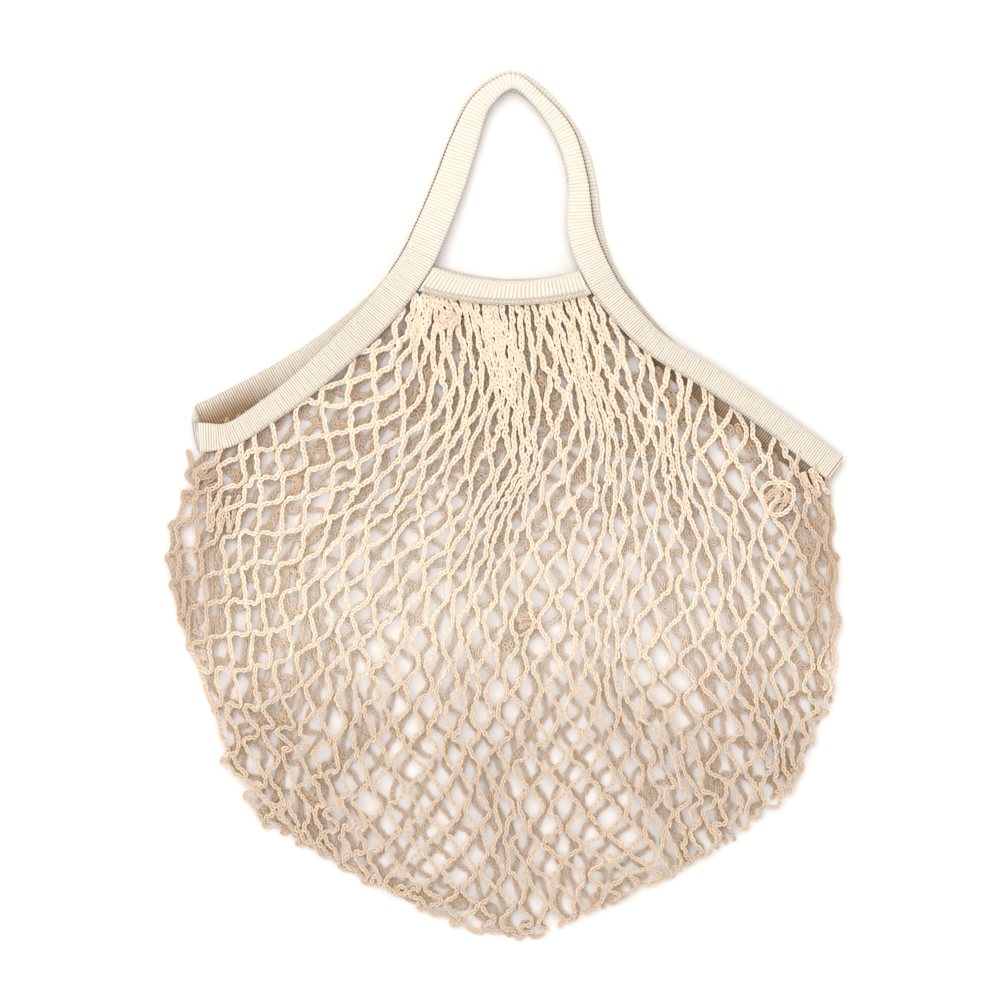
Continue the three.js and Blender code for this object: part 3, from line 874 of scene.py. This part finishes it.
def bandShade(centre, onFront):
    # painted shade: darker where the band faces the inside of the bag, and in the crease between the two
    # handle straps
    sideways, upwards = [share[None] for share in bandSection()]
    x, y, onFront = centre[:, :1], centre[:, 1:2], onFront[:, None]
    crease = onFront * smoothStep(y, 118, 150) * smoothStep(-sideways, 0.86, 0.97) * (upwards < 0.6)
    right = smoothStep(x, 45, 62) * smoothStep(sideways, -0.1, 0.6)
    left = 0.5 * smoothStep(-x, 60, 90) * smoothStep(sideways, 0.3, 0.9)
    corner = smoothStep(-x, 118, 160) * smoothStep(sideways, -0.9, 0.3)
    inside = (1 - onFront) * np.clip(right + left + corner, 0, 0.95) * (upwards < 0.4)
    return np.clip(crease + inside, 0, 1)


def stationAt(stations, index):
    return {key: values[index] for key, values in stations.items()}


def makeBand():
    front = layerStations("front")
    back = {key: values[::-1] for key, values in layerStations("back").items()}
    rightTurn = foldStations(stationAt(front, -1), stationAt(back, 0), 1)
    leftTurn = foldStations(stationAt(back, -1), stationAt(front, 0), -1)
    loop = [front, rightTurn, back, leftTurn]
    stations = {key: np.concatenate([part[key] for part in loop]) for key in front}
    onFront = np.concatenate([np.full(len(part["width"]), float(part is front)) for part in loop])
    stations["shade"] = bandShade(stations["centre"], onFront)
    steps = np.linalg.norm(np.diff(stations["centre"], axis=0), axis=1)
    onHandle = smoothStep(stations["centre"][1:, 1], 120, 190)
    x, y = stations["centre"][:, 0], stations["centre"][:, 1]
    # groove strength, which deepens the grooves and their painted shade: less on the handle, more on the back
    # band's faces inside the bag near the left corner and along the right side
    inner = (1 - onFront) * (smoothStep(-x, 105, 150) + smoothStep(x, 55, 80))
    stations["stain"] = 1.15 - 0.65 * smoothStep(y, 95, 180) + 0.8 * inner
    stretched = band["ribPitch"] + (band["handleRibPitch"] - band["ribPitch"]) * onHandle
    stations["along"] = np.concatenate([[0.0], np.cumsum(steps / stretched * band["ribPitch"])])
    source = flatTube("bandBase", stations, True)
    return runNodes(source, ribTree, {
        "Rib Pitch": band["ribPitch"], "Rib Depth": band["ribDepth"] * mm, "Slant": 0.0,
        "Material": bandCotton,
    }, "handleBand")


def makeRim(side, lift):
    count = int(rim["length"] / band["stationStep"])
    shares = np.linspace(0, 1, count)
    lower, upper = rimEdge(side, "Low", shares), rimEdge(side, "High", shares)
    across = lower - upper
    width = np.linalg.norm(across, axis=1)
    stations = {
        "centre": np.column_stack([(lower + upper) / 2, np.full(count, lift + rim["thickness"] / 2)]),
        "across": np.column_stack([across / width[:, None], 0 * width]),
        "normal": np.tile((0.0, 0.0, 1.0), (count, 1)),
        "width": width, "thickness": np.full(count, rim["thickness"]),
        "along": shares * rim["length"],
        "shade": np.zeros((count, band["roundPoints"])), "stain": np.full(count, 0.75),
    }
    source = flatTube("rimBase", stations, False)
    return runNodes(source, ribTree, {
        "Rib Pitch": rim["ribPitch"], "Rib Depth": band["ribDepth"] * mm, "Slant": rim["slant"],
        "Material": bandCotton,
    }, "rim" + side.capitalize())


# chain stitches of the rim and the slopes, and the finer dark ones between the straps of the handle, whose
# near-black colour is painted shadow of the crease there
seam = {
    "pitch": 2.3, "length": 1.5, "width": 1.05, "yarn": 0.38,
    "tilt": 0.2, "twist": 0.2, "unevenness": 0.08, "loopSteps": 8,
}
strapSeam = {
    "pitch": 2.1, "length": 1.2, "width": 0.5, "yarn": 0.3,
    "tilt": 0.1, "twist": 0.2, "unevenness": 0.1, "loopSteps": 6,
}


def seamPath(edge, inward, inset, height):
    # a line of sewing on the top face, a little inside an edge
    return np.column_stack([edge + inward * inset, height])


def makeSeams():
    # along the lower edge of the front rim and of both front slopes, and along the front strap's outer edge
    thread = stitchLoop("seamLoop", seam, 4)
    shares = np.linspace(0.03, 0.97, 90)
    low, high = rimEdge("front", "Low", shares), rimEdge("front", "High", shares)
    top = np.full(len(shares), band["frontLift"] + rim["thickness"] - 0.05)
    rows = [seamPath(low, unit(high - low), inset, top) for inset in rim["seamInsets"]]
    rimSeam = cordPiece("rimSeam", rows, thread, seam, 61, seamCotton, 0.0)
    slopes = []
    for start, end in ((0.05, rim["frontFeet"]["leftLow"]), (rim["frontFeet"]["rightLow"], 0.95)):
        shares = np.linspace(start, end, 240)
        middle, width, across = bandPlaces("front", shares)
        thickness = band["section"] / width
        inset = 1 - 2 * band["seamInset"] / width
        fall = thickness / 2 * (1 - np.clip(inset, 0, 1) ** band["squareness"]) ** (1 / band["squareness"])
        top = bandLift(middle[:, 0], middle[:, 1]) + thickness / 2 + fall - 0.05
        slopes.append(seamPath(middle + across * (width / 2)[:, None], -across, band["seamInset"], top))
    bandSeam = cordPiece("bandSeam", slopes, thread, seam, 62, seamCotton, 0.0)
    # fine stitches along the front strap's outer edge, coloured near-black as painted shadow of the crease
    # between the straps
    fineThread = stitchLoop("strapLoop", strapSeam, 4)
    middle, width, across = bandPlaces("front", np.linspace(rim["frontFeet"]["leftLow"], 0.74, 400))
    edge = middle - across * (width / 2)[:, None]
    rise = bandLift(edge[:, 0], edge[:, 1]) + 0.2
    strapDots = cordPiece("strapSeam", [seamPath(edge, across, -0.15, rise)], fineThread, strapSeam, 63,
                          seamWithCreaseShadow, 0.0)
    bpy.data.objects.remove(thread)
    bpy.data.objects.remove(fineThread)
    return rimSeam, bandSeam, strapDots


rimSeam, bandSeam, strapDots = makeSeams()
pieces.append((rimSeam, "rim_front", "rim_cotton"))
pieces.append((bandSeam, "band", "band_cotton"))
pieces.append((strapDots, "band", "band_cotton"))
pieces.append((makeBand(), "band", "band_cotton"))
pieces.append((makeRim("front", band["frontLift"]), "rim_front", "rim_cotton"))
pieces.append((makeRim("back", 0.0), "rim_back", "rim_cotton"))
print("band and rims knitted")

for loop in (frontLoop, backLoop):
    bpy.data.objects.remove(loop)

for piece, node, slot in pieces:
    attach(piece, "root")
    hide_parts(node)


# Table, light and camera

def makeTable():
    size = 3.0
    mesh = bpy.data.meshes.new("table")
    corners = [(-size, -size, 0), (size, -size, 0), (size, size, 0), (-size, size, 0)]
    mesh.from_pydata(corners, [], [(0, 1, 2, 3)])
    table = bpy.data.objects.new("table", mesh)
    bpy.context.scene.collection.objects.link(table)
    material = bpy.data.materials.new("whiteTable")
    material.use_nodes = True
    shader = material.node_tree.nodes["Principled BSDF"]
    shader.inputs["Base Color"].default_value = (0.655, 0.63, 0.617, 1)
    shader.inputs["Roughness"].default_value = 0.8
    shader.inputs["Specular IOR Level"].default_value = 0.1
    mesh.materials.append(material)


def areaLight(name, place, size, power, colour):
    data = bpy.data.lights.new(name, "AREA")
    data.shape = "DISK"
    data.size = size
    data.energy = power
    data.color = colour
    lamp = bpy.data.objects.new(name, data)
    lamp.location = place
    lamp.rotation_euler = (-lamp.location).to_track_quat("-Z", "Y").to_euler()
    bpy.context.scene.collection.objects.link(lamp)


def makeCamera():
    lens, sensor = 100.0, 36.0
    viewWidth = 0.5706
    data = bpy.data.cameras.new("camera")
    data.lens = lens
    data.sensor_width = sensor
    camera = bpy.data.objects.new("camera", data)
    camera.location = (-0.0028, 0.0042, viewWidth * lens / sensor + 0.008)
    bpy.context.scene.collection.objects.link(camera)
    bpy.context.scene.camera = camera


makeTable()
areaLight("key", (-0.38, 0.36, 1.85), 2.1, 39.0, (1.0, 0.985, 0.965))
areaLight("fill", (1.3, -0.9, 1.7), 1.6, 6.0, (0.95, 0.97, 1.0))
makeCamera()
world = bpy.data.worlds.new("studio")
world.use_nodes = True
world.node_tree.nodes["Background"].inputs["Color"].default_value = (1.0, 1.0, 1.0, 1)
world.node_tree.nodes["Background"].inputs["Strength"].default_value = 0.955
bpy.context.scene.world = world
bpy.context.scene.view_settings.view_transform = "Standard"
print("stage set")
